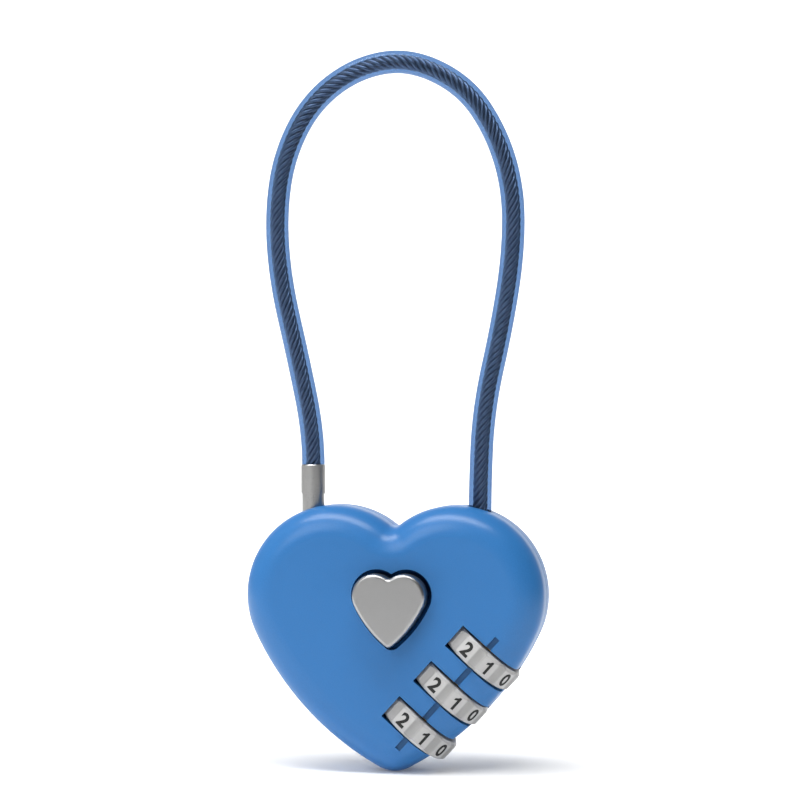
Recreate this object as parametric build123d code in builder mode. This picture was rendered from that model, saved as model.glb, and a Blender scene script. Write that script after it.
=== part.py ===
"""Heart-shaped luggage padlock with a cable shackle, three number dials and a heart-shaped push button.

Frame: millimetres, +Z up, the dials' side of the body faces -Y and its width runs along X.  The origin is
below the heart's tip, centred in width and in depth between the button's face and the flat back.
The dial axis lies in its own frame, DIAL: x runs out towards the lower right edge (p), y runs back (the same
as Y) and z runs along the axis, up and to the right (a).
"""

import os
from math import acos, cos, degrees, pi, radians, sin, tan

from build123d import *

# Body
FACE_Y = -5.0  # front face
BACK_Y = 6.8  # flat back
SEAM_Y = 1.0  # the two shells meet here, and the cable lies in this plane
LOBE_X = 7.66  # centre of a lobe's arc
LOBE_Z = 22.16
LOBE_R = 11.36
LOBE_END = -25.4  # angle at which a lobe's arc runs into the side's arc
SIDE_R = 37.0
TIP_R = 4.0
NOTCH_R = 0.9
EDGE_R = 3.8  # rounding of the front edge
BACK_EDGE_R = 3.8
WALL = 1.6
FACE_WALL = 1.4
BACK_WALL = 1.2
CAVITY_R = 1.9  # rounding between wall and face inside
SEAM_CHAMFER = 0.12

# Dials
DIAL_X, DIAL_Y, DIAL_Z = 6.92, -0.5, 10.48  # centre of the middle dial
DIAL_TILT = 48.0  # dial axis above +X
DIAL_PITCH = 6.0
DIAL_R = 5.4
DIAL_W = 2.85
DIAL_BORE_R = 2.86
DIAL_RELIEF_R = 3.45
DIGITS = 10
DIGIT_STEP = 360 / DIGITS
DIGIT_TWO_ANGLE = -15.0  # the digit 2, from the face's normal towards the edge
SCALLOP_R = 1.1
SCALLOP_DEPTH = 0.2
DIAL_CHAMFER = 0.35
SLOT_W = 3.45
SLOT_INNER = 3.8  # from the dial axis to the slot's inner end
SLOT_R = 5.75  # the slot's end in the edge follows the dial
INDEX_P = 0.44  # index groove, from the dial axis
INDEX_W = 0.75
INDEX_DEPTH = 0.35
INDEX_STUB = 1.7  # how far the groove runs past the outer slots

# Cams and shaft
SHAFT_R = 1.0
JOURNAL_R = 0.8
RUN = 0.05  # radial clearance of a running fit
CAM_R = 2.8
CAM_LOW = -1.35  # from its dial's middle
CAM_FLANGE = 1.7
CAM_HIGH = 2.9
GATE_W = 1.3
GATE_DEPTH = 1.1
CLUTCH_W = 0.8
CLUTCH_R = 3.3
CLUTCH_HIGH = -0.3
CAM_ROOM_R, CAM_ROOM = 3.0, (-7.9, 9.3)
SHAFT_LOW, SHAFT_HIGH = -10.4, 12.7
JOURNAL_LOW, JOURNAL_HIGH = -7.9, 9.45
SADDLES = ((-9.9, -8.5), (11.45, 12.65))
RESET_HOLE_R = 0.9
SHAFT_HEAD_R, SHAFT_HEAD_HIGH = 1.6, -7.4
SPACER_R = 1.6

# Button
BUTTON_X, BUTTON_LOBE_Z = 0.2, 22.4
BUTTON_LOBE_X, BUTTON_LOBE_R = 1.87, 2.75
BUTTON_SIDE_R = 14.6
BUTTON_TIP_R = 0.7
BUTTON_NOTCH_R = 0.5
BUTTON_FACE_Y = -7.6
BUTTON_GAP = 0.5
BUTTON_LIP = 0.95  # the flange stands out this far round the button
BUTTON_FLANGE = 0.7
BUTTON_EDGE_R = 0.45
PRESS = 1.6  # travel of the button, and of the slide that its 45 degree wedge pushes
STEM_Z = 21.2
STEM_HALF_P, STEM_HALF_A = 1.8, 1.5
STEM_END_Y = 3.7
WEDGE_SUM = 3.4  # on the wedge, distance from the stem's middle plus Y
WEDGE_GAP = 0.07

# Locking slide
SLIDE_Y0, SLIDE_Y1 = 2.2, 3.4
SLIDE_P = -6.6  # the plate's edge beside the dials
SLIDE_A0, SLIDE_A1 = -4.6, 9.2
FENCE_P = -4.6
FENCE_REACH = 1.2  # how far a fence's nose stands out of its arm
FENCE_HALF_A, FENCE_HALF_Y = 0.5, 0.55
FENCE_A = 2.3  # from its dial's middle
ARM_P, ARM_A0, ARM_A1 = -22.3, 0.1, 1.5
PEG_X, PEG_Z, PEG_R = -8.95, 25.6, 0.35
LATCH_X, LATCH_T = -8.52, 0.35
LATCH_Y0, LATCH_Y1 = -0.1, 2.1
LATCH_Z0, LATCH_Z1 = 23.5, 30.9
TONGUE_Z0, TONGUE_Z1 = 26.8, 27.4

# Springs
BUTTON_SPRING_X, BUTTON_SPRING_Z, BUTTON_SPRING_R, BUTTON_WIRE_R = -2.5, 23.5, 1.05, 0.2
POST_R, POST_END_Y = 0.65, 1.0
SLIDE_SPRING_A, SLIDE_SPRING_R, SLIDE_WIRE_R = 9.9, 0.6, 0.15
SLIDE_SPRING_P1 = -2.0
RESET_SPRING_R, RESET_WIRE_R = 1.45, 0.18
DETENT_T, DETENT_BUMP_Y = 0.3, 4.97

# Cable
CABLE_X = 10.5
CABLE_R = 1.46
ROPE_R = 0.6
SLEEVE_GAP = 0.12
PLUG_X = -11.0
PLUG_TIP_Z, PLUG_STEP_Z, PLUG_TOP_Z = 24.9, 34.9, 38.6
PLUG_R, CRIMP_R = 1.44, 1.57
PLUG_GROOVE_Z0, PLUG_GROOVE_Z1, PLUG_GROOVE_R = 26.5, 27.7, 0.95
SOCKET_R = 1.55
SOCKET_END_Z = 24.7
ROPE_IN_PLUG = 3.4
CABLE_ROUTE = (
    (10.5, 29.3),
    (10.5, 36.3),
    (11.0, 45.9),
    (13.3, 56.1),
    (14.75, 65.3),
    (14.75, 73.5),
    (12.6, 80.6),
    (8.55, 86.65),
    (1.5, 90.15),
    (-5.35, 89.15),
    (-11.25, 84.9),
    (-14.8, 78.15),
    (-15.9, 70.5),
    (-15.3, 62.1),
    (-13.05, 52.5),
    (-11.0, 42.7),
    (-11.0, 38.6),
)
ANCHOR_R, ANCHOR_Z0, ANCHOR_Z1 = 1.7, 24.8, 29.3
ROPE_IN_ANCHOR = 3.5
CRIMP_FIT = 0.02

SCREWS = ((4.4, 28.1), (-12.2, 17.7), (-3.7, 10.1), (12.9, 22.05))
BOSS_R = 1.7
SCREW_R, SCREW_HEAD_R, SCREW_HEAD_T = 0.78, 1.5, 1.1
SCREW_TIP_Y = -2.6
SCREW_SEAT = 1.3  # depth of the screw heads' recesses in the back

# Ribs inside the shells
GUIDE_Z0, GUIDE_Z1 = 28.9, 32.3  # around the cable's plug
CUP_Z0, CUP_Z1 = 23.7, 26.2  # under the plug's tip
CLAMP_Z0 = 29.1  # holds the latch spring's upper end
DETENT_SPINE_P = -5.3

os.makedirs("parts", exist_ok=True)

FRONT_IN = FACE_Y + FACE_WALL
BACK_IN = BACK_Y - BACK_WALL
AXIS = Vector(cos(radians(DIAL_TILT)), 0, sin(radians(DIAL_TILT)))
OUT = Vector(sin(radians(DIAL_TILT)), 0, -cos(radians(DIAL_TILT)))
DIAL = Plane(origin=(DIAL_X, DIAL_Y, DIAL_Z), x_dir=OUT, z_dir=AXIS)
STEM_LOCAL = DIAL.to_local_coords(Vector(BUTTON_X, DIAL_Y, STEM_Z))
STEM_P, STEM_A = STEM_LOCAL.X, STEM_LOCAL.Z
DIAL_MIDDLES = (DIAL_PITCH, 0, -DIAL_PITCH)


def level(y):
    """The plane across the body at depth y, facing forwards: local x is X and local y is Z."""
    return Plane.XZ.offset(-y)


def turned(y):
    """The plane across the body at depth y, facing forwards, turned with the dials: local x is p, y is a."""
    return Plane(origin=(DIAL_X, y, DIAL_Z), x_dir=OUT, z_dir=(0, -1, 0))


def across(a):
    """The plane across the dial axis at a: local x is p and local y is depth behind the axis."""
    return DIAL.offset(a)


def heart(lobe_x, lobe_z, lobe_r, side_r, tip_r, notch_r):
    """A heart's outline from two lobe arcs and two side arcs, as a face in the XY plane."""
    notch = 180 - degrees(acos(lobe_x / lobe_r))
    end = radians(LOBE_END)
    side_x = lobe_x + (lobe_r - side_r) * cos(end)
    side_z = lobe_z + (lobe_r - side_r) * sin(end)
    tip = -degrees(acos(-side_x / side_r))
    with BuildSketch() as shape:
        with BuildLine():
            CenterArc((lobe_x, lobe_z), lobe_r, LOBE_END, notch - LOBE_END)
            CenterArc((side_x, side_z), side_r, tip, LOBE_END - tip)
            mirror(about=Plane.YZ)
        make_face()
        fillet(shape.vertices().filter_by_position(Axis.X, -1e-3, 1e-3).sort_by(Axis.Y)[-1], notch_r)
        fillet(shape.vertices().filter_by_position(Axis.X, -1e-3, 1e-3).sort_by(Axis.Y)[0], tip_r)
    return shape.sketch


def block(plane, x0, x1, y0, y1, depth, mode=Mode.ADD):
    """A block on a plane from its corners there, reaching depth along the plane's normal."""
    with BuildSketch(plane) as outline:
        with Locations(((x0 + x1) / 2, (y0 + y1) / 2)):
            Rectangle(x1 - x0, y1 - y0)
    extrude(outline.sketch, amount=depth, mode=mode)


def coil(start, along, radius, wire, length, turns):
    """A coil spring, wound along a direction from its axis's start."""
    with BuildPart() as wound:
        with BuildLine():
            centre = Helix(length / turns, length, radius, center=start, direction=along)
        with BuildSketch(Plane(origin=centre @ 0, z_dir=centre % 0)):
            Circle(wire)
        sweep(is_frenet=True)
    return wound.part


def posts(plane, spots, radius, depth, mode=Mode.ADD):
    """Round posts or holes on a plane, reaching depth along the plane's normal."""
    with BuildSketch(plane) as outline:
        with Locations(*spots):
            Circle(radius)
    extrude(outline.sketch, amount=depth, mode=mode)


BODY = heart(LOBE_X, LOBE_Z, LOBE_R, SIDE_R, TIP_R, NOTCH_R)
BUTTON = heart(BUTTON_LOBE_X, 0, BUTTON_LOBE_R, BUTTON_SIDE_R, BUTTON_TIP_R, BUTTON_NOTCH_R)
BUTTON = BUTTON.moved(Location((BUTTON_X, BUTTON_LOBE_Z)))

# Room cut from both shells: the dials, the shaft, the cable's two ends
with BuildPart() as room:
    for middle in DIAL_MIDDLES:
        posts(across(middle - SLOT_W / 2), [(0, 0)], SLOT_R, SLOT_W)
    for low, high in SADDLES:
        posts(across(low - 0.6), [(0, 0)], JOURNAL_R + RUN, high - low + 1.2)
    posts(across(CAM_ROOM[0]), [(0, 0)], CAM_ROOM_R, CAM_ROOM[1] - CAM_ROOM[0])
    posts(Plane.XY.offset(SOCKET_END_Z), [(PLUG_X, SEAM_Y)], SOCKET_R, 20)
    posts(Plane.XY.offset(ANCHOR_Z0), [(CABLE_X, SEAM_Y)], ANCHOR_R + CRIMP_FIT, ANCHOR_Z1 - ANCHOR_Z0)
    posts(Plane.XY.offset(ANCHOR_Z1), [(CABLE_X, SEAM_Y)], CABLE_R + 0.15, 20)

# Front shell
with BuildPart() as front_block:
    with BuildSketch(level(SEAM_Y)):
        add(BODY)
    extrude(amount=SEAM_Y - FACE_Y)
    fillet(front_block.faces().sort_by(Axis.Y)[0].edges(), EDGE_R)
    chamfer(front_block.faces().sort_by(Axis.Y)[-1].edges(), SEAM_CHAMFER)

with BuildPart() as front_cavity:
    with BuildSketch(level(SEAM_Y)):
        add(BODY)
        offset(amount=-WALL, kind=Kind.INTERSECTION)
    extrude(amount=SEAM_Y - FRONT_IN)
    fillet(front_cavity.faces().sort_by(Axis.Y)[0].edges(), CAVITY_R)

with BuildPart() as front_ribs:
    posts(level(SEAM_Y), SCREWS, BOSS_R, SEAM_Y - FRONT_IN)
    block(level(SEAM_Y), -13.4, LATCH_X, GUIDE_Z0, GUIDE_Z1, SEAM_Y - FRONT_IN)
    block(level(SEAM_Y), LATCH_X + LATCH_T, -7.1, CLAMP_Z0, LATCH_Z1, SEAM_Y - FRONT_IN)
    block(level(LATCH_Y0), LATCH_X - 0.1, -7.5, CLAMP_Z0, LATCH_Z1, LATCH_Y0 - FRONT_IN)
    block(level(SEAM_Y), -13.0, -9.35, CUP_Z0, CUP_Z1, SEAM_Y - FRONT_IN)
    block(level(SEAM_Y), 8.4, 13.2, ANCHOR_Z0, 30.3, SEAM_Y - FRONT_IN)
    for low, high in SADDLES:
        block(turned(DIAL_Y), -2.2, 2.2, low, high, DIAL_Y - FRONT_IN)
    add(front_block.part, mode=Mode.INTERSECT)

with BuildPart() as front_case:
    add(front_block.part)
    add(front_cavity.part, mode=Mode.SUBTRACT)
    add(front_ribs.part)
    add(room.part, mode=Mode.SUBTRACT)
    for middle in DIAL_MIDDLES:
        block(turned(DIAL_Y), -SLOT_INNER, 12, middle - SLOT_W / 2, middle + SLOT_W / 2, 12, Mode.SUBTRACT)
    reach = DIAL_PITCH + SLOT_W / 2 + INDEX_STUB
    block(
        turned(FACE_Y + INDEX_DEPTH),
        INDEX_P - INDEX_W / 2,
        INDEX_P + INDEX_W / 2,
        -reach,
        reach,
        1,
        Mode.SUBTRACT,
    )
    with BuildSketch(level(FRONT_IN + 0.01)):
        add(BUTTON)
        offset(amount=BUTTON_GAP)
    extrude(amount=FACE_WALL + 1, mode=Mode.SUBTRACT)
    posts(level(SEAM_Y), SCREWS, SCREW_R + 0.02, SEAM_Y - SCREW_TIP_Y + 0.4, Mode.SUBTRACT)
    posts(across(-20), [(0, 0)], RESET_HOLE_R, 20 + SHAFT_LOW, Mode.SUBTRACT)
front_case.part.label = "front_case"
export_step(front_case.part, "parts/front_case.step")

# Back shell
with BuildPart() as back_block:
    with BuildSketch(level(SEAM_Y)):
        add(BODY)
    extrude(amount=SEAM_Y - BACK_Y)
    fillet(back_block.faces().sort_by(Axis.Y)[-1].edges(), BACK_EDGE_R)
    chamfer(back_block.faces().sort_by(Axis.Y)[0].edges(), SEAM_CHAMFER)

with BuildPart() as back_cavity:
    with BuildSketch(level(SEAM_Y)):
        add(BODY)
        offset(amount=-WALL, kind=Kind.INTERSECTION)
    extrude(amount=SEAM_Y - BACK_IN)
    fillet(back_cavity.faces().sort_by(Axis.Y)[-1].edges(), CAVITY_R)

with BuildPart() as back_ribs:
    posts(level(BACK_IN), SCREWS, BOSS_R, BACK_IN - SEAM_Y)
    block(level(BACK_IN), -13.4, LATCH_X, GUIDE_Z0, GUIDE_Z1, BACK_IN - SEAM_Y)
    block(level(BACK_IN), LATCH_X + LATCH_T, -7.1, CLAMP_Z0, LATCH_Z1, BACK_IN - SEAM_Y)
    block(level(BACK_IN), LATCH_X - 0.1, -7.5, CLAMP_Z0, LATCH_Z1, BACK_IN - LATCH_Y1)
    block(level(BACK_IN), -13.0, -10.4, CUP_Z0, CUP_Z1, BACK_IN - SEAM_Y)
    block(level(BACK_IN), 8.9, 13.2, ANCHOR_Z0, 30.3, BACK_IN - SEAM_Y)
    add(back_block.part, mode=Mode.INTERSECT)

with BuildPart() as back_case:
    add(back_block.part)
    add(back_cavity.part, mode=Mode.SUBTRACT)
    add(back_ribs.part)
    posts(level(BACK_IN), [(BUTTON_SPRING_X, BUTTON_SPRING_Z)], POST_R, BACK_IN - POST_END_Y)
    for low, high in SADDLES:
        block(turned(BACK_IN), -1.4, 0.9, low + 0.7, high, BACK_IN - DIAL_Y)
    block(turned(BACK_IN), SLIDE_SPRING_P1, -1.2, 9.0, 10.5, BACK_IN - 1.9)
    for a in (-3.4, 7.6):
        block(turned(BACK_IN), -9.6, -7.6, a - 0.6, a + 0.6, BACK_IN - SLIDE_Y1 - RUN)
    posts(turned(BACK_IN), [(DETENT_SPINE_P, a) for a in (-3.08, 3.08)], 0.4, DETENT_T + 0.2)
    add(room.part, mode=Mode.SUBTRACT)
    posts(level(BACK_Y), SCREWS, SCREW_R + 0.07, BACK_Y - SEAM_Y + 1, Mode.SUBTRACT)
    posts(level(BACK_Y), SCREWS, SCREW_HEAD_R + 0.1, SCREW_SEAT, Mode.SUBTRACT)
back_case.part.label = "back_case"
export_step(back_case.part, "parts/back_case.step")

# Push button: a heart with a flange behind the face and a stem whose end is a 45 degree wedge
with BuildPart() as heart_button:
    with BuildSketch(level(FRONT_IN + 0.1)):
        add(BUTTON)
    extrude(amount=FRONT_IN + 0.1 - BUTTON_FACE_Y)
    fillet(heart_button.faces().sort_by(Axis.Y)[0].edges(), BUTTON_EDGE_R)
    with BuildSketch(level(FRONT_IN + BUTTON_FLANGE)):
        add(BUTTON)
        offset(amount=BUTTON_LIP)
    extrude(amount=BUTTON_FLANGE)
    block(
        turned(STEM_END_Y),
        STEM_P - STEM_HALF_P,
        STEM_P + STEM_HALF_P,
        STEM_A - STEM_HALF_A,
        STEM_A + STEM_HALF_A,
        STEM_END_Y - FRONT_IN - 0.1,
    )
    with BuildSketch(across(STEM_A - STEM_HALF_A - 0.1)):
        with Locations((STEM_P, 0)):
            Polygon(
                (WEDGE_SUM - STEM_END_Y - 1, STEM_END_Y + 1 - DIAL_Y),
                (WEDGE_SUM - STEM_END_Y + 4, STEM_END_Y + 1 - DIAL_Y),
                (WEDGE_SUM - STEM_END_Y + 4, STEM_END_Y - 4 - DIAL_Y),
                align=None,
            )
    extrude(amount=2 * STEM_HALF_A + 0.2, mode=Mode.SUBTRACT)
heart_button.part.label = "heart_button"
export_step(heart_button.part, "parts/heart_button.step")

# The button's return spring, around a post of the back shell
with BuildPart() as button_spring:
    length = BACK_IN - FRONT_IN - BUTTON_FLANGE - 2 * BUTTON_WIRE_R - 0.1
    start = Vector(BUTTON_SPRING_X, BACK_IN - BUTTON_WIRE_R - 0.05, BUTTON_SPRING_Z)
    add(coil(start, Vector(0, -1, 0), BUTTON_SPRING_R, BUTTON_WIRE_R, length, 8))
button_spring.part.label = "button_spring"
export_step(button_spring.part, "parts/button_spring.step")

# Locking slide: a plate that the wedge pushes along p, a fence for each cam and an arm to the latch
with BuildPart() as locking_slide:
    wedge = STEM_P + WEDGE_SUM + WEDGE_GAP * 2**0.5
    thick = SLIDE_Y1 - SLIDE_Y0
    block(turned(SLIDE_Y1), wedge - SLIDE_Y1, SLIDE_P, SLIDE_A0, SLIDE_A1, thick)
    with BuildSketch(across(SLIDE_A0 - 1)):
        Polygon(
            (wedge - SLIDE_Y1 - 1, SLIDE_Y1 + 1 - DIAL_Y),
            (wedge - SLIDE_Y1 - 1, SLIDE_Y0 - 1 - DIAL_Y),
            (wedge - SLIDE_Y0 + 1, SLIDE_Y0 - 1 - DIAL_Y),
            align=None,
        )
    extrude(amount=SLIDE_A1 - SLIDE_A0 + 2, mode=Mode.SUBTRACT)
    block(turned(SLIDE_Y1), ARM_P, SLIDE_P, ARM_A0, ARM_A1, thick)
    block(turned(SLIDE_Y1), SLIDE_P - 2, SLIDE_P, SLIDE_A1 - 0.5, SLIDE_SPRING_A + 0.8, thick)
    for middle in DIAL_MIDDLES:
        low, high = middle + FENCE_A - FENCE_HALF_A, middle + FENCE_A + FENCE_HALF_A
        block(turned(SLIDE_Y1), SLIDE_P - 0.5, FENCE_P, low, high, thick)
        block(turned(SLIDE_Y1), FENCE_P - FENCE_REACH, FENCE_P, low, high, SLIDE_Y1 - DIAL_Y + FENCE_HALF_Y)
        block(turned(DIAL_Y + FENCE_HALF_Y), FENCE_P - 0.5, FENCE_P + FENCE_REACH, low, high, 2 * FENCE_HALF_Y)
    posts(level(SLIDE_Y0 + 0.5), [(PEG_X, PEG_Z)], PEG_R, SLIDE_Y0 + 0.5 - LATCH_Y0 - 0.5)
locking_slide.part.label = "locking_slide"
export_step(locking_slide.part, "parts/locking_slide.step")

with BuildPart() as slide_spring:
    length = SLIDE_SPRING_P1 - SLIDE_P - 2 * SLIDE_WIRE_R - 0.1
    middle = (SLIDE_Y0 + SLIDE_Y1) / 2 - DIAL_Y
    start = DIAL.from_local_coords(Vector(SLIDE_P + SLIDE_WIRE_R + 0.05, middle, SLIDE_SPRING_A))
    add(coil(start, OUT, SLIDE_SPRING_R, SLIDE_WIRE_R, length, 7))
slide_spring.part.label = "slide_spring"
export_step(slide_spring.part, "parts/slide_spring.step")

# Latch spring: a flat strip whose tongue stands in the plug's groove
with BuildPart() as latch_spring:
    width = LATCH_Y1 - LATCH_Y0
    block(level(LATCH_Y1), LATCH_X, LATCH_X + LATCH_T, LATCH_Z0, LATCH_Z1, width)
    block(level(LATCH_Y1 - 0.3), PLUG_X + PLUG_GROOVE_R + 0.05, LATCH_X, TONGUE_Z0, TONGUE_Z1, width - 0.6)
latch_spring.part.label = "latch_spring"
export_step(latch_spring.part, "parts/latch_spring.step")

# Number dials
for number, middle in enumerate(DIAL_MIDDLES, 1):
    with BuildPart() as dial:
        posts(across(middle - DIAL_W / 2), [(0, 0)], DIAL_R, DIAL_W)
        chamfer(dial.edges().filter_by(GeomType.CIRCLE), DIAL_CHAMFER)
        with BuildSketch(across(middle - DIAL_W / 2)):
            for digit in range(DIGITS):
                turn = radians(DIGIT_TWO_ANGLE + (digit + 0.5) * DIGIT_STEP)
                far = DIAL_R + SCALLOP_R - SCALLOP_DEPTH
                with Locations((far * sin(turn), -far * cos(turn))):
                    Circle(SCALLOP_R)
        extrude(amount=DIAL_W, mode=Mode.SUBTRACT)
        posts(across(middle - DIAL_W / 2), [(0, 0)], DIAL_BORE_R, DIAL_W, Mode.SUBTRACT)
        posts(across(middle + CLUTCH_HIGH), [(0, 0)], DIAL_RELIEF_R, DIAL_W, Mode.SUBTRACT)
        with BuildSketch(across(middle - DIAL_W / 2)):
            with PolarLocations(0, DIGITS):
                with Locations((DIAL_BORE_R, 0)):
                    Rectangle(2 * (DIAL_RELIEF_R - DIAL_BORE_R), CLUTCH_W + 2 * RUN)
        extrude(amount=DIAL_W, mode=Mode.SUBTRACT)
    dial.part.label = f"dial_{number}"
    export_step(dial.part, f"parts/dial_{number}.step")

# Cam sleeves: two clutch teeth in the dial, a true gate facing the fence and a false one a quarter turn on
for number, middle in enumerate(DIAL_MIDDLES, 1):
    with BuildPart() as cam:
        posts(across(middle + CAM_LOW), [(0, 0)], CAM_R, CAM_HIGH - CAM_LOW)
        with BuildSketch(across(middle + CAM_LOW)):
            Rectangle(2 * CLUTCH_R, CLUTCH_W)
        extrude(amount=CLUTCH_HIGH - 0.1 - CAM_LOW)
        posts(across(middle + CAM_LOW), [(0, 0)], SHAFT_R + RUN, 8, Mode.SUBTRACT)
        for turn in (180, 90):
            with BuildSketch(across(middle + CAM_FLANGE)):
                with Locations(Rot(0, 0, turn)):
                    with Locations((CAM_R, 0)):
                        Rectangle(2 * GATE_DEPTH, GATE_W)
            extrude(amount=CAM_HIGH - CAM_FLANGE, mode=Mode.SUBTRACT)
    cam.part.label = f"cam_{number}"
    export_step(cam.part, f"parts/cam_{number}.step")

# Shaft, with a head at its lower end that carries the cams when it is pushed to set a new number
with BuildPart() as dial_shaft:
    posts(across(SHAFT_LOW), [(0, 0)], JOURNAL_R, SHAFT_HIGH - SHAFT_LOW)
    posts(across(JOURNAL_LOW), [(0, 0)], SHAFT_R, JOURNAL_HIGH - JOURNAL_LOW)
    posts(across(SADDLES[0][1] + RUN), [(0, 0)], SHAFT_HEAD_R, SHAFT_HEAD_HIGH - SADDLES[0][1] - RUN)
dial_shaft.part.label = "dial_shaft"
export_step(dial_shaft.part, "parts/dial_shaft.step")

with BuildPart() as cam_spacers:
    for middle in (0, -DIAL_PITCH):
        low, high = middle + CAM_HIGH + RUN, middle + DIAL_PITCH + CAM_LOW - RUN
        posts(across(low), [(0, 0)], SPACER_R, high - low)
        posts(across(low), [(0, 0)], SHAFT_R + RUN, high - low, Mode.SUBTRACT)
cam_spacers.part.label = "cam_spacers"
export_step(cam_spacers.part, "parts/cam_spacers.step")

with BuildPart() as reset_spring:
    low = DIAL_PITCH + CAM_HIGH + RESET_WIRE_R + 0.05
    length = SADDLES[1][0] - RESET_WIRE_R - 0.05 - low
    start = DIAL.from_local_coords(Vector(0, 0, low))
    add(coil(start, AXIS, RESET_SPRING_R, RESET_WIRE_R, length, 3.5))
reset_spring.part.label = "reset_spring"
export_step(reset_spring.part, "parts/reset_spring.step")

# Detent leaf on the back shell's floor: a spine and a finger with a bump behind each dial
with BuildPart() as detent_spring:
    block(turned(BACK_IN), DETENT_SPINE_P - 0.6, DETENT_SPINE_P + 0.6, -7.0, 7.0, DETENT_T)
    for middle in DIAL_MIDDLES:
        block(turned(BACK_IN), DETENT_SPINE_P, 0.7, middle - 1.0, middle + 1.0, DETENT_T)
        block(turned(BACK_IN - DETENT_T), -0.3, 0.3, middle - 1.0, middle + 1.0, BACK_IN - DETENT_T - DETENT_BUMP_Y)
    posts(turned(BACK_IN), [(DETENT_SPINE_P, a) for a in (-3.08, 3.08)], 0.42, DETENT_T, Mode.SUBTRACT)
detent_spring.part.label = "detent_spring"
export_step(detent_spring.part, "parts/detent_spring.step")

# Cable: a plug crimped on the free end, a sleeve over a wire rope, and a crimp that holds the fixed end
with BuildPart() as cable_plug:
    posts(Plane.XY.offset(PLUG_TIP_Z), [(PLUG_X, SEAM_Y)], PLUG_R, PLUG_STEP_Z - PLUG_TIP_Z)
    chamfer(cable_plug.faces().sort_by(Axis.Z)[0].edges(), 0.5)
    with BuildSketch(Plane.XY.offset(PLUG_GROOVE_Z0)):
        with Locations((PLUG_X, SEAM_Y)):
            Circle(PLUG_R + 0.1)
            Circle(PLUG_GROOVE_R, mode=Mode.SUBTRACT)
    extrude(amount=PLUG_GROOVE_Z1 - PLUG_GROOVE_Z0, mode=Mode.SUBTRACT)
    posts(Plane.XY.offset(PLUG_STEP_Z), [(PLUG_X, SEAM_Y)], CRIMP_R, PLUG_TOP_Z - PLUG_STEP_Z)
    chamfer(cable_plug.faces().sort_by(Axis.Z)[-1].edges(), 0.12)
    posts(Plane.XY.offset(PLUG_TOP_Z), [(PLUG_X, SEAM_Y)], ROPE_R + CRIMP_FIT, -ROPE_IN_PLUG, Mode.SUBTRACT)
cable_plug.part.label = "cable_plug"
export_step(cable_plug.part, "parts/cable_plug.step")

with BuildPart() as cable_anchor:
    posts(Plane.XY.offset(ANCHOR_Z0), [(CABLE_X, SEAM_Y)], ANCHOR_R, ANCHOR_Z1 - ANCHOR_Z0)
    posts(Plane.XY.offset(ANCHOR_Z1), [(CABLE_X, SEAM_Y)], ROPE_R + CRIMP_FIT, -ROPE_IN_ANCHOR, Mode.SUBTRACT)
cable_anchor.part.label = "cable_anchor"
export_step(cable_anchor.part, "parts/cable_anchor.step")

corners = [Vector(x, SEAM_Y, z) for x, z in CABLE_ROUTE]
runs = [b - a for a, b in zip(corners, corners[1:])]
radii = []
for before, after in zip(runs, runs[1:]):
    turn = radians(before.get_angle(after))
    radii.append(0.45 * min(before.length, after.length) / tan(turn / 2))
print("cable bend radii:", [round(r, 1) for r in radii])

with BuildPart() as cable_sleeve:
    with BuildLine():
        centre = FilletPolyline(*corners, radius=radii)
    with BuildSketch(Plane(origin=centre @ 0, z_dir=centre % 0)):
        Circle(CABLE_R)
        Circle(ROPE_R + SLEEVE_GAP, mode=Mode.SUBTRACT)
    sweep()
cable_sleeve.part.label = "cable_sleeve"
export_step(cable_sleeve.part, "parts/cable_sleeve.step")
section = pi * (CABLE_R**2 - (ROPE_R + SLEEVE_GAP) ** 2)
print("sleeve length:", round(centre.length, 1), "volume:", round(cable_sleeve.part.volume, 2))
print("section by length:", round(section * centre.length, 2))

with BuildPart() as wire_rope:
    ends = [corners[0] - Vector(0, 0, ROPE_IN_ANCHOR), *corners[1:-1], corners[-1] - Vector(0, 0, ROPE_IN_PLUG)]
    with BuildLine():
        centre = FilletPolyline(*ends, radius=radii)
    with BuildSketch(Plane(origin=centre @ 0, z_dir=centre % 0)):
        Circle(ROPE_R)
    sweep()
wire_rope.part.label = "wire_rope"
export_step(wire_rope.part, "parts/wire_rope.step")

# Screws from the back
with BuildPart() as case_screws:
    seat = BACK_Y - SCREW_SEAT
    posts(level(seat), SCREWS, SCREW_R, seat - SCREW_TIP_Y)
    posts(level(seat + SCREW_HEAD_T), SCREWS, SCREW_HEAD_R, SCREW_HEAD_T)
    for x, z in SCREWS:
        for long, wide in ((1.8, 0.45), (0.45, 1.8)):
            block(
                level(seat + SCREW_HEAD_T + 0.1),
                x - long / 2,
                x + long / 2,
                z - wide / 2,
                z + wide / 2,
                0.6,
                Mode.SUBTRACT,
            )
case_screws.part.label = "case_screws"
export_step(case_screws.part, "parts/case_screws.step")
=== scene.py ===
"""Looks of the heart-shaped cable padlock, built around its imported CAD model."""

import math

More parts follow.
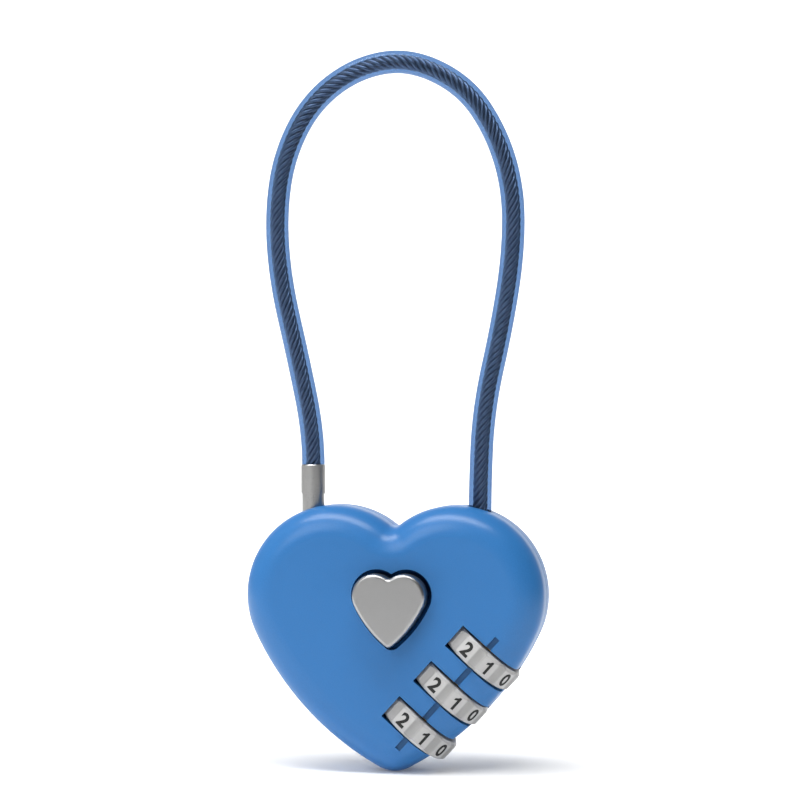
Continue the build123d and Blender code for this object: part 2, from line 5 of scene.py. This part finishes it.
import bmesh
import bpy
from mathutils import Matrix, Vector


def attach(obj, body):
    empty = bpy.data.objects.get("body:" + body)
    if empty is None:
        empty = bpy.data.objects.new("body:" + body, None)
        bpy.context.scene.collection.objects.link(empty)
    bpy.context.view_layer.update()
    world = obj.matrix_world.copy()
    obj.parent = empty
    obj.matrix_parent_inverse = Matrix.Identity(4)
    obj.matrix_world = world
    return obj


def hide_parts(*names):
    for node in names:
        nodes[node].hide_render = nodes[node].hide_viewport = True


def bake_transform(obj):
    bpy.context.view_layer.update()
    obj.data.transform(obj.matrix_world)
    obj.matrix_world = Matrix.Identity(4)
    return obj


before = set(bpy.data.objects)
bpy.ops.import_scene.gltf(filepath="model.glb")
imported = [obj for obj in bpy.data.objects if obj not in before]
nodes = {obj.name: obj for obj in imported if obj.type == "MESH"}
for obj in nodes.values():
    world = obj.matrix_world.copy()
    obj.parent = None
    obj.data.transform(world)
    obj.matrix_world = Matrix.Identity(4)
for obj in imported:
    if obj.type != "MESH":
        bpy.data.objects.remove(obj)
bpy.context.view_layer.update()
MM = 0.001

# ---------------------------------------------------------------- sizes shared with the CAD model

SEAM_Y = 1.0
CABLE_ROUTE = [
    (10.5, 29.3),
    (10.5, 36.3),
    (11.0, 45.9),
    (13.3, 56.1),
    (14.75, 65.3),
    (14.75, 73.5),
    (12.6, 80.6),
    (8.55, 86.65),
    (1.5, 90.15),
    (-5.35, 89.15),
    (-11.25, 84.9),
    (-14.8, 78.15),
    (-15.9, 70.5),
    (-15.3, 62.1),
    (-13.05, 52.5),
    (-11.0, 42.7),
    (-11.0, 38.6),
]
CABLE_R = 1.46
COAT_STEP = 0.6  # between the rings of the coating's skin
ROPE_LOOK_R = 0.94  # the clear coating magnifies the rope inside it
ROPE_STEP = 0.22
ROPE_LAY = 5.6  # one turn of a strand round the rope
STRANDS = 6
STRAND_SHARE = 0.345  # a strand's radius as a share of the rope's

DIAL_MIDDLE = Vector((6.92, -0.5, 10.48))
DIAL_TILT = math.radians(48)
DIAL_PITCH = 6.0
DIAL_R = 5.4
DIGIT_TWO_ANGLE = -15.0
DIGIT_STEP = 36.0
DIGIT_HEIGHT = 1.9
DIGIT_CUT = 0.14  # strips a digit is cut into, so that it bends round the rim
INK_LIFT = 0.012
AXIS = Vector((math.cos(DIAL_TILT), 0, math.sin(DIAL_TILT)))
OUT = Vector((math.sin(DIAL_TILT), 0, -math.cos(DIAL_TILT)))
FORWARD = Vector((0, -1, 0))

INDEX_P = 0.44  # the index groove's middle line, from the dials' axis
INDEX_W = 0.75
INDEX_Y = -4.65  # its floor
INDEX_RUNS = [(-9.4, -7.75), (-4.25, -1.75), (1.75, 4.25), (7.75, 9.4)]
# Painted shade: a dark sheet lies this far above the index groove's floor and this far from its walls.
SHADE_LIFT = 0.015
SHADE_GAP = 0.02  # from the groove's walls

BUTTON_SPRING_X, BUTTON_SPRING_Z = -2.5, 23.5
BUTTON_SPRING_Y = (5.6, -2.9)  # from the back shell to the button
SLIDE_SPRING_A = 9.9
SLIDE_SPRING_P = (6.6, 2.0)  # from the slide to the case
# Painted shade: behind this depth the button's foot and lower side wall are painted dark navy, as the
# shade in the gap round the button.
BUTTON_SHADE_Y = -5.35  # the button is silver in front of this and dark behind it
BUTTON_SHADE_FADE = 0.3

# ---------------------------------------------------------------- camera

TARGET = Vector((0.00093, 0.0, 0.0463))
CAMERA_AZIMUTH = math.radians(10)
CAMERA_DISTANCE = 0.35
FRAME_WIDTH = 0.1023


def make_camera():
    """The camera stands a little to the right, level with the middle of the whole lock."""
    away = Vector((math.sin(CAMERA_AZIMUTH), -math.cos(CAMERA_AZIMUTH), 0))
    data = bpy.data.cameras.new("camera")
    data.sensor_width = 36
    data.lens = 18 / (FRAME_WIDTH / 2 / CAMERA_DISTANCE)
    data.clip_start = 0.01
    camera = bpy.data.objects.new("camera", data)
    bpy.context.collection.objects.link(camera)
    camera.location = TARGET + away * CAMERA_DISTANCE
    camera.rotation_euler = (-away).to_track_quat("-Z", "Y").to_euler()
    bpy.context.scene.camera = camera


make_camera()

# ---------------------------------------------------------------- materials


def new_material(name):
    """An empty node material with its shader and output."""
    material = bpy.data.materials.new(name)
    material.use_nodes = True
    shader = material.node_tree.nodes["Principled BSDF"]
    return material, material.node_tree, shader


def noise(tree, scale, detail=4.0):
    """Noise in the object's own coordinates; scale is in features per millimetre."""
    place = tree.nodes.new("ShaderNodeTexCoord")
    texture = tree.nodes.new("ShaderNodeTexNoise")
    texture.inputs["Scale"].default_value = scale * 1000
    texture.inputs["Detail"].default_value = detail
    tree.links.new(place.outputs["Object"], texture.inputs["Vector"])
    return texture.outputs["Fac"]


def along(tree, source, axis):
    """One axis of a texture coordinate."""
    place = tree.nodes.new("ShaderNodeTexCoord")
    split = tree.nodes.new("ShaderNodeSeparateXYZ")
    tree.links.new(place.outputs[source], split.inputs["Vector"])
    return split.outputs[axis]


def maths(tree, operation, first, *others):
    """The result of a Math node; its inputs are sockets or plain numbers."""
    node = tree.nodes.new("ShaderNodeMath")
    node.operation = operation
    for socket, value in zip(node.inputs, (first, *others)):
        if isinstance(value, bpy.types.NodeSocket):
            tree.links.new(value, socket)
        else:
            socket.default_value = value
    return node.outputs["Value"]


def spread(tree, value, low, high):
    """Noise, which stays near the middle of 0 to 1, spread over another range."""
    node = tree.nodes.new("ShaderNodeMapRange")
    node.inputs["From Min"].default_value = 0.3
    node.inputs["From Max"].default_value = 0.7
    node.inputs["To Min"].default_value = low
    node.inputs["To Max"].default_value = high
    tree.links.new(value, node.inputs["Value"])
    return node.outputs["Result"]


def ranged(tree, value, start, stop, low, high):
    """A value's stretch from start to stop turned smoothly into low to high."""
    node = tree.nodes.new("ShaderNodeMapRange")
    node.interpolation_type = "SMOOTHSTEP"
    node.inputs["From Min"].default_value = start
    node.inputs["From Max"].default_value = stop
    node.inputs["To Min"].default_value = low
    node.inputs["To Max"].default_value = high
    tree.links.new(value, node.inputs["Value"])
    return node.outputs["Result"]


def shaded(tree, shader, share):
    """The shader's base colour scaled by a share."""
    shade = tree.nodes.new("ShaderNodeVectorMath")
    shade.operation = "SCALE"
    colour = shader.inputs["Base Color"].links[0].from_socket
    tree.links.new(colour, shade.inputs[0])
    tree.links.new(share, shade.inputs["Scale"])
    tree.links.new(shade.outputs["Vector"], shader.inputs["Base Color"])


def bump(tree, shader, height, distance, strength):
    """A bump of the given real height, in millimetres, on a shader."""
    node = tree.nodes.new("ShaderNodeBump")
    node.inputs["Distance"].default_value = distance * MM
    node.inputs["Strength"].default_value = strength
    tree.links.new(height, node.inputs["Height"])
    tree.links.new(node.outputs["Normal"], shader.inputs["Normal"])


def two_tone(tree, shader, value, dark, light):
    """Base colour that wanders between two shades."""
    ramp = tree.nodes.new("ShaderNodeValToRGB")
    ramp.color_ramp.elements[0].position = 0.3
    ramp.color_ramp.elements[0].color = (*dark, 1)
    ramp.color_ramp.elements[1].position = 0.7
    ramp.color_ramp.elements[1].color = (*light, 1)
    tree.links.new(value, ramp.inputs["Fac"])
    tree.links.new(ramp.outputs["Color"], shader.inputs["Base Color"])


def lacquer():
    """Glossy blue lacquer over cast metal, duller round the sides than on the face and back."""
    material, tree, shader = new_material("blue_lacquer")
    two_tone(tree, shader, noise(tree, 9.0, 2.0), (0.032, 0.170, 0.44), (0.036, 0.185, 0.48))
    shader.inputs["Specular IOR Level"].default_value = 0.15
    shader.inputs["Coat Roughness"].default_value = 0.27
    tree.links.new(spread(tree, noise(tree, 3.0), 0.30, 0.38), shader.inputs["Roughness"])
    bump(tree, shader, noise(tree, 0.35, 2.0), 0.02, 0.25)
    facing = maths(tree, "ABSOLUTE", along(tree, "Normal", "Y"))
    polish = ranged(tree, facing, 0.35, 0.85, 0.02, 0.40)
    tree.links.new(polish, shader.inputs["Coat Weight"])
    return material


def satin(name, dark, light, rough):
    """Satin or blasted metal with a fine grain."""
    material, tree, shader = new_material(name)
    fine = noise(tree, 14.0, 5.0)
    two_tone(tree, shader, noise(tree, 1.2), dark, light)
    shader.inputs["Metallic"].default_value = 1.0
    tree.links.new(spread(tree, fine, rough - 0.05, rough + 0.06), shader.inputs["Roughness"])
    bump(tree, shader, fine, 0.002, 0.15)
    return material


def button_metal():
    """Satin silver, with painted shade on its foot and lower side wall in the gap round the button."""
    material = satin("satin_silver", (0.395, 0.395, 0.395), (0.405, 0.405, 0.405), 0.34)
    tree = material.node_tree
    start, stop = BUTTON_SHADE_Y * MM, (BUTTON_SHADE_Y + BUTTON_SHADE_FADE) * MM
    # Painted shade: the base colour turns dark navy towards the back of the button, in the gap round
    # it.
    gap_shade = ranged(tree, along(tree, "Object", "Y"), start, stop, 0, 1)
    mix = tree.nodes.new("ShaderNodeMix")
    mix.data_type = "RGBA"
    mix.inputs["B"].default_value = (0.004, 0.025, 0.08, 1)
    tree.links.new(gap_shade, mix.inputs["Factor"])
    tree.links.new(tree.nodes["Color Ramp"].outputs["Color"], mix.inputs["A"])
    tree.links.new(mix.outputs["Result"], tree.nodes["Principled BSDF"].inputs["Base Color"])
    return material


def moulded(name, dark, light, rough):
    """Moulded plastic with a faint satin texture."""
    material, tree, shader = new_material(name)
    two_tone(tree, shader, noise(tree, 0.8), dark, light)
    sheen = spread(tree, noise(tree, 4.0), rough - 0.05, rough + 0.07)
    tree.links.new(sheen, shader.inputs["Roughness"])
    bump(tree, shader, noise(tree, 11.0), 0.006, 0.5)
    return material


def dial_plastic():
    """Moulded grey plastic, with painted shade darkening the finger scallops between the digits."""
    material = moulded("dial_plastic", (0.50, 0.495, 0.49), (0.54, 0.535, 0.53), 0.42)
    tree = material.node_tree
    shader = tree.nodes["Principled BSDF"]
    place = tree.nodes.new("ShaderNodeTexCoord")
    reach = []
    for direction in (OUT, -FORWARD):
        dot = tree.nodes.new("ShaderNodeVectorMath")
        dot.operation = "DOT_PRODUCT"
        dot.inputs[1].default_value = direction
        tree.links.new(place.outputs["Object"], dot.inputs[0])
        reach.append(maths(tree, "SUBTRACT", dot.outputs["Value"], DIAL_MIDDLE.dot(direction) * MM))
    angle = maths(tree, "ARCTAN2", *reach)
    phase = math.pi - 10 * math.radians(DIGIT_TWO_ANGLE)
    wave = maths(tree, "COSINE", maths(tree, "MULTIPLY_ADD", angle, -10.0, phase))
    # Painted shade: the base colour is darkened in the finger scallops between the digits, where shade
    # falls.
    shaded(tree, shader, ranged(tree, wave, 0.1, 0.75, 1.0, 0.70))
    return material


def clear_coating():
    """Translucent blue plastic: it tints the light that passes and has a gloss and a little haze."""
    material, tree, shader = new_material("clear_blue")
    two_tone(tree, shader, noise(tree, 0.5), (0.12, 0.22, 0.42), (0.14, 0.25, 0.46))
    shader.inputs["Roughness"].default_value = 0.10
    shader.inputs["IOR"].default_value = 1.48
    shader.inputs["Coat Weight"].default_value = 0.5
    shader.inputs["Coat Roughness"].default_value = 0.05
    bump(tree, shader, noise(tree, 0.6, 2.0), 0.02, 0.3)
    clear = tree.nodes.new("ShaderNodeBsdfTransparent")
    clear.inputs["Color"].default_value = (0.34, 0.47, 0.66, 1)
    gloss = tree.nodes.new("ShaderNodeLayerWeight")
    gloss.inputs["Blend"].default_value = 0.10
    mix = tree.nodes.new("ShaderNodeMixShader")
    tree.links.new(maths(tree, "ADD", gloss.outputs["Facing"], 0.05), mix.inputs["Fac"])
    tree.links.new(clear.outputs["BSDF"], mix.inputs[1])
    tree.links.new(shader.outputs["BSDF"], mix.inputs[2])
    tree.links.new(mix.outputs["Shader"], tree.nodes["Material Output"].inputs["Surface"])
    return material


BLUE = lacquer()
SILVER = button_metal()
STEEL = satin("steel", (0.42, 0.42, 0.43), (0.52, 0.52, 0.53), 0.30)
SPRING = satin("spring_steel", (0.30, 0.30, 0.32), (0.42, 0.42, 0.44), 0.28)
FERRULE = satin("ferrule", (0.48, 0.48, 0.475), (0.52, 0.52, 0.51), 0.30)
BRASS = satin("cam_brass", (0.52, 0.36, 0.13), (0.66, 0.48, 0.20), 0.30)
DIAL = dial_plastic()
# Dark blue of the painted shade on the index groove's floor.
GROOVE_SHADE = moulded("groove_shade_blue", (0.013, 0.085, 0.22), (0.017, 0.100, 0.25), 0.55)
INK = moulded("digit_ink", (0.004, 0.004, 0.004), (0.008, 0.008, 0.008), 0.60)
CLEAR = clear_coating()
ROPE = satin("wire_rope", (0.42, 0.36, 0.34), (0.60, 0.50, 0.46), 0.38)

LOOKS = {
    "front_case": BLUE,
    "back_case": BLUE,
    "heart_button": SILVER,
    "locking_slide": STEEL,
    "dial_shaft": STEEL,
    "case_screws": STEEL,
    "button_spring": SPRING,
    "slide_spring": SPRING,
    "latch_spring": SPRING,
    "reset_spring": SPRING,
    "detent_spring": SPRING,
    "cable_plug": FERRULE,
    "cable_anchor": FERRULE,
    "cam_spacers": BRASS,
    "cam_1": BRASS,
    "cam_2": BRASS,
    "cam_3": BRASS,
    "dial_1": DIAL,
    "dial_2": DIAL,
    "dial_3": DIAL,
}
for name, look in LOOKS.items():
    mesh = nodes[name].data
    mesh.materials.clear()
    mesh.materials.append(look)


def add_piece(name, mesh, material=None):
    """An object of this mesh in the scene."""
    if material:
        mesh.materials.append(material)
    piece = bpy.data.objects.new(name, mesh)
    bpy.context.collection.objects.link(piece)
    return piece


def new_mesh(name, vertices, faces):
    """A mesh of points in metres."""
    mesh = bpy.data.meshes.new(name)
    mesh.from_pydata(vertices, [], faces)
    return mesh


# ---------------------------------------------------------------- cable


def cable_line():
    """Points along the cable's centre, in millimetres, read from its route's NURBS spline."""
    curve = bpy.data.curves.new("cable_route", "CURVE")
    curve.dimensions = "3D"
    spline = curve.splines.new("NURBS")
    spline.points.add(len(CABLE_ROUTE) - 1)
    for point, (x, z) in zip(spline.points, CABLE_ROUTE):
        point.co = (x, SEAM_Y, z, 1)
    spline.order_u = 3
    spline.use_endpoint_u = True
    spline.resolution_u = 24
    route = bpy.data.objects.new("cable_route", curve)
    line = bpy.data.meshes.new_from_object(route)
    points = [v.co.copy() for v in line.vertices]
    bpy.data.objects.remove(route)
    bpy.data.meshes.remove(line)
    return points


def resample(points, step):
    """The same line with its points a step apart."""
    kept = [points[0].copy()]
    carry = 0.0
    for a, b in zip(points, points[1:]):
        run = (b - a).length
        while carry + run >= step:
            a = a.lerp(b, (step - carry) / run)
            kept.append(a.copy())
            run = (b - a).length
            carry = 0.0
        carry += run
    if (kept[-1] - points[-1]).length > step * 0.3:
        kept.append(points[-1].copy())
    else:
        kept[-1] = points[-1].copy()
    return kept


def frames(points):
    """A direction and two cross directions at each point of a line in the seam's plane."""
    result = []
    for i, point in enumerate(points):
        ahead = points[min(i + 1, len(points) - 1)] - points[max(i - 1, 0)]
        ahead.normalize()
        side = Vector((0, 1, 0))
        result.append((point, ahead.cross(side).normalized(), side))
    return result


def tube(name, rings, material, closed_ends=True):
    """A mesh skin over rings of points, all with as many points, in millimetres."""
    vertices = [p * MM for ring in rings for p in ring]
    count = len(rings[0])
    faces = []
    for r in range(len(rings) - 1):
        for i in range(count):
            j = (i + 1) % count
            here, there = r * count, (r + 1) * count
            faces.append((here + j, here + i, there + i, there + j))
    if closed_ends:
        last = (len(rings) - 1) * count
        faces.append(tuple(range(count)))
        faces.append(tuple(reversed(range(last, last + count))))
    mesh = new_mesh(name, vertices, faces)
    mesh.polygons.foreach_set("use_smooth", [len(f) == 4 for f in faces])
    return add_piece(name, mesh, material)


def circle(point, across, side, radius, count):
    """Points round a circle about a point of the line."""
    ring = []
    for i in range(count):
        angle = 2 * math.pi * i / count
        ring.append(point + (across * math.cos(angle) + side * math.sin(angle)) * radius)
    return ring


def make_cable():
    """The coating and, inside it, a rope of strands laid round a core."""
    line = cable_line()
    points = resample(line, COAT_STEP)
    coat = tube("cable_coating", [circle(*f, CABLE_R, 28) for f in frames(points)], CLEAR, False)
    start = [points[0] - Vector((0, 0, 3.4)), points[0] - Vector((0, 0, 1.7))]
    end = [points[-1] - Vector((0, 0, 1.6)), points[-1] - Vector((0, 0, 3.3))]
    fine = frames(resample([*start, *line, *end], ROPE_STEP))
    strand_r = ROPE_LOOK_R * STRAND_SHARE
    lay_r = ROPE_LOOK_R - strand_r
    pieces = []
    for s in range(STRANDS):
        rings = []
        for i, (point, across, side) in enumerate(fine):
            angle = 2 * math.pi * (s / STRANDS - i * ROPE_STEP / ROPE_LAY)
            radial = across * math.cos(angle) + side * math.sin(angle)
            rings.append(circle(point + radial * lay_r, across, side, strand_r, 8))
        pieces.append(tube(f"rope_strand_{s + 1}", rings, ROPE))
    pieces.append(tube("rope_core", [circle(*f, strand_r, 8) for f in fine], ROPE))
    return coat, pieces, [p * MM for p in points]


coat, strands, cable_path = make_cable()
with bpy.context.temp_override(active_object=strands[0], selected_editable_objects=strands):
    bpy.ops.object.join()
rope = strands[0]
rope.name = "rope_strands"
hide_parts("cable_sleeve")
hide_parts("wire_rope")
for piece in (coat, rope):
    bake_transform(piece)

# ---------------------------------------------------------------- springs


def make_spring(node, a, b, start, end):
    """A copy of the node's coil spring as a piece of its own, in the place of the node, which is
    hidden.
    """
    piece = add_piece(f"{node}_coil", nodes[node].data.copy())
    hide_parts(node)
    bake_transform(piece)


coil_ends = [Vector((BUTTON_SPRING_X, y, BUTTON_SPRING_Z)) for y in BUTTON_SPRING_Y]
make_spring("button_spring", "case", "button", *coil_ends)
coil_ends = [DIAL_MIDDLE + AXIS * SLIDE_SPRING_A - OUT * p for p in SLIDE_SPRING_P]
make_spring("slide_spring", "slide", "case", *coil_ends)

# ---------------------------------------------------------------- digits


ONE = [
    (-0.06, -0.95),
    (0.30, -0.95),
    (0.30, 0.95),
    (0.04, 0.95),
    (-0.12, 0.72),
    (-0.44, 0.52),
    (-0.44, 0.20),
    (-0.06, 0.40),
]


def digit_mesh(digit):
    """A flat bold digit, centred, of the digits' height, in millimetres: x along the reading, y up."""
    text = bpy.data.curves.new("digit", "FONT")
    text.body = str(digit)
    text.offset = 0.034
    text.resolution_u = 8
    holder = bpy.data.objects.new("digit", text)
    mesh = bpy.data.meshes.new_from_object(holder)
    bpy.data.objects.remove(holder)
    flat = bmesh.new()
    if digit == 1:
        flat.faces.new([flat.verts.new((x, y, 0)) for x, y in ONE])
    else:
        flat.from_mesh(mesh)
    bpy.data.meshes.remove(mesh)
    low = [min(v.co[k] for v in flat.verts) for k in range(2)]
    high = [max(v.co[k] for v in flat.verts) for k in range(2)]
    scale = DIGIT_HEIGHT / (high[1] - low[1])
    for v in flat.verts:
        v.co.x = (v.co.x - (low[0] + high[0]) / 2) * scale
        v.co.y = (v.co.y - (low[1] + high[1]) / 2) * scale
        v.co.z = 0
    for k in range(-8, 9):
        cut = [*flat.verts, *flat.edges, *flat.faces]
        place = (k * DIGIT_CUT, 0, 0)
        bmesh.ops.bisect_plane(flat, geom=cut, plane_co=place, plane_no=(1, 0, 0))
    bmesh.ops.triangulate(flat, faces=flat.faces)
    flat.verts.index_update()
    points = [(v.co.x, v.co.y) for v in flat.verts]
    faces = [tuple(v.index for v in f.verts) for f in flat.faces]
    flat.free()
    return points, faces


def make_digits(number, middle):
    """The ten digits of a dial, printed on its rim."""
    vertices, faces = [], []
    centre = DIAL_MIDDLE + AXIS * middle
    for digit in range(10):
        flat, shapes = digit_mesh(digit)
        turn = math.radians(DIGIT_TWO_ANGLE + (2 - digit) * DIGIT_STEP)
        base = len(vertices)
        for x, y in flat:
            angle = turn + x / DIAL_R
            radial = FORWARD * math.cos(angle) + OUT * math.sin(angle)
            vertices.append((centre + radial * (DIAL_R + INK_LIFT) + AXIS * y) * MM)
        faces += [tuple(base + v for v in shape) for shape in shapes]
    name = f"digits_{number}"
    piece = add_piece(name, new_mesh(name, vertices, faces), INK)
    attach(piece, f"dial_{number}")


for number, middle in enumerate((DIAL_PITCH, 0, -DIAL_PITCH), 1):
    make_digits(number, middle)


def make_index_paint():
    """A dark sheet of painted shade on the floor of the index groove, between and beyond the dials."""
    vertices, faces = [], []
    for start, stop in INDEX_RUNS:
        base = len(vertices)
        for at, side in ((start, -1), (stop, -1), (stop, 1), (start, 1)):
            spot = DIAL_MIDDLE + AXIS * at + OUT * (INDEX_P + side * (INDEX_W / 2 - SHADE_GAP))
            spot.y = INDEX_Y - SHADE_LIFT
            vertices.append(spot * MM)
        faces.append(tuple(range(base, base + 4)))
    piece = add_piece("index_shade", new_mesh("index_shade", vertices, faces), GROOVE_SHADE)
    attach(piece, "case")


make_index_paint()

# ---------------------------------------------------------------- floor and light

FLOOR_FRONT, FLOOR_BACK = -0.9, 0.35
COVE_R = 0.25
WALL_TOP = 1.4
PAPER_HALF = 1.6
# Painted light: the paper glows this strongly and fades out far from this middle, behind the lock and
# to its left.
PAINTED_GLOW = 0.8
PAINTED_GLOW_MIDDLE = (-0.12, 0.33, 0.12)


def make_stage():
    """A pale floor that runs up into a backdrop. It glows with painted light behind the lock, dimmed
    round the lock's foot as a painted contact shadow.
    """
    profile = [(FLOOR_FRONT, 0.0), (FLOOR_BACK, 0.0)]
    for i in range(1, 13):
        angle = math.pi / 2 * i / 12
        profile.append((FLOOR_BACK + COVE_R * math.sin(angle), COVE_R - COVE_R * math.cos(angle)))
    profile.append((FLOOR_BACK + COVE_R, WALL_TOP))
    vertices = [(x, y, z) for y, z in profile for x in (-PAPER_HALF, PAPER_HALF)]
    faces = [(2 * i, 2 * i + 1, 2 * i + 3, 2 * i + 2) for i in range(len(profile) - 1)]
    mesh = new_mesh("floor", vertices, faces)
    mesh.polygons.foreach_set("use_smooth", [True] * len(faces))
    material, tree, shader = new_material("studio_paper")
    two_tone(tree, shader, noise(tree, 0.02), (0.86, 0.86, 0.86), (0.88, 0.88, 0.88))
    shader.inputs["Roughness"].default_value = 0.7
    shader.inputs["Emission Color"].default_value = (1, 1, 1, 1)
    place = tree.nodes.new("ShaderNodeTexCoord")
    away = []
    for centre in ((0, 0, 0), PAINTED_GLOW_MIDDLE):
        length = tree.nodes.new("ShaderNodeVectorMath")
        length.operation = "DISTANCE"
        length.inputs[1].default_value = centre
        tree.links.new(place.outputs["Object"], length.inputs[0])
        away.append(length.outputs["Value"])
    # Painted contact shadow: the glow is dimmed round the lock's foot, and it fades out far from the
    # glow's middle.
    glow_round_shadow = ranged(tree, away[0], 0.0, 0.08, 0.12, PAINTED_GLOW)
    glow_reach = ranged(tree, away[1], 0.35, 0.48, 1.0, 0.0)
    tree.links.new(maths(tree, "MULTIPLY", glow_round_shadow, glow_reach), shader.inputs["Emission Strength"])
    add_piece("floor", mesh, material)


def soft_light(name, place, aim, size, power):
    """A rectangular soft light that shines at a point."""
    data = bpy.data.lights.new(name, "AREA")
    data.shape = "RECTANGLE"
    data.size, data.size_y = size
    data.energy = power
    light = bpy.data.objects.new(name, data)
    bpy.context.collection.objects.link(light)
    light.location = place
    light.rotation_euler = (Vector(aim) - Vector(place)).to_track_quat("-Z", "Y").to_euler()


make_stage()
soft_light("top_soft", (-0.05, -0.12, 0.50), (0, 0, 0.02), (0.50, 0.16), 2.5)
soft_light("front_soft", (-0.28, -0.55, 0.45), (0, 0, 0.05), (0.40, 0.40), 1.55)


def make_world():
    """Studio surroundings that are bright at the left and dim at the right."""
    world = bpy.data.worlds.new("world")
    world.use_nodes = True
    tree = world.node_tree
    background = tree.nodes["Background"]
    background.inputs["Color"].default_value = (1, 1, 1, 1)
    strength = ranged(tree, along(tree, "Generated", "X"), -0.9, 0.9, 0.45, 0.05)
    tree.links.new(strength, background.inputs["Strength"])
    bpy.context.scene.world = world


make_world()
bpy.context.scene.view_settings.view_transform = "Standard"
